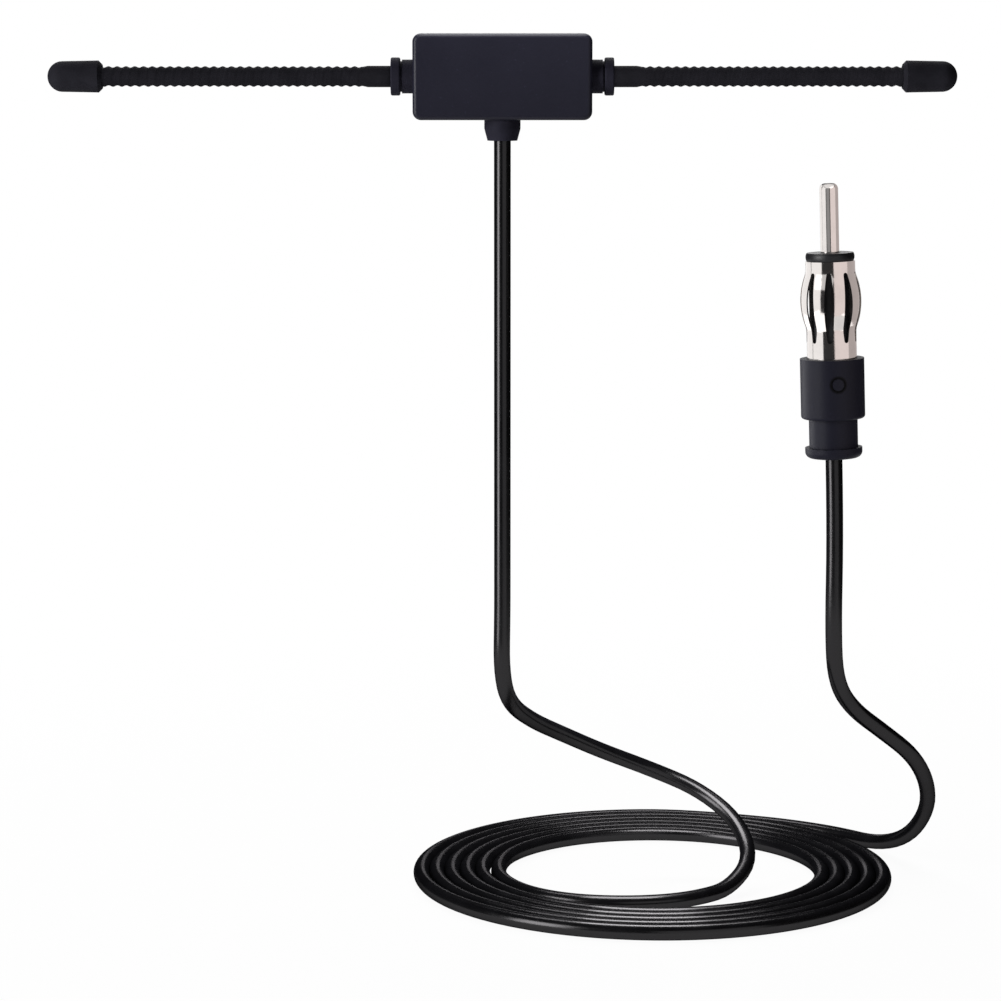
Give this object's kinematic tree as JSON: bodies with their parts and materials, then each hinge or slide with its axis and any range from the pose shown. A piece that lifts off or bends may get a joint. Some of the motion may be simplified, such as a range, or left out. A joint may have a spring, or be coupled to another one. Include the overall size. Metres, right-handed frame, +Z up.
{
  "type": "car windshield radio antenna",
  "caption": "Stick-on windshield radio antenna: small box with ribbed bendable arms ending in caps, a coaxial lead lying in a flat coil, and an aerial plug with a slotted bulged sleeve.",
  "frame": {"origin": "middle of the adhesive pad's outer face, where the housing meets the glass", "axes": "+X along the right arm, +Y through the adhesive face into the glass, +Z up; the lead leaves towards -Z"},
  "size_m": [0.1762, 0.1112, 0.1752],
  "materials": {
    "housing_plastic": "fine matt moulded face with softened edges",
    "foam_tape": "closed-cell adhesive foam",
    "board_laminate": "solder-masked laminate",
    "ferrite": "dull sintered ferrite",
    "copper_wire": "bare or enamelled copper",
    "chip_ceramic": "small ceramic chips",
    "tinned_brass": "tin-plated brass",
    "gland_rubber": "matt moulded rubber",
    "arm_rubber": "matt ribbed rubber",
    "conductor_metal": "soft bendable wire",
    "cap_rubber": "satin moulded rubber",
    "cable_jacket": "semi-gloss extruded jacket with a fine grain",
    "boot_plastic": "fine matt moulding",
    "nickel_plate": "polished nickel plate",
    "insulator_plastic": "dark moulded insulator"
  },
  "bodies": {
    "root": {"front_cover": "housing_plastic", "rear_cover": "housing_plastic", "adhesive_pad": "foam_tape", "circuit_board": "board_laminate", "balun_core": "ferrite", "balun_winding": "copper_wire", "chip_capacitors": "chip_ceramic", "left_solder_lug": "tinned_brass", "right_solder_lug": "tinned_brass", "left_arm_gland": "gland_rubber", "right_arm_gland": "gland_rubber", "left_arm_sheath": "arm_rubber", "right_arm_sheath": "arm_rubber", "left_arm_conductor": "conductor_metal", "right_arm_conductor": "conductor_metal", "left_end_cap": "cap_rubber", "right_end_cap": "cap_rubber", "cable_gland": "gland_rubber", "cable_tail": "cable_jacket", "core_wire": "copper_wire", "braid_pigtail": "copper_wire", "downlead_cable": "cable_jacket", "cable_coil": "cable_jacket", "plug_lead_cable": "cable_jacket", "plug_boot": "boot_plastic", "plug_sleeve": "nickel_plate", "plug_insulator": "insulator_plastic", "plug_pin": "nickel_plate", "plug_ferrule": "tinned_brass", "plug_cable_tail": "cable_jacket"}
  },
  "joints": []
}
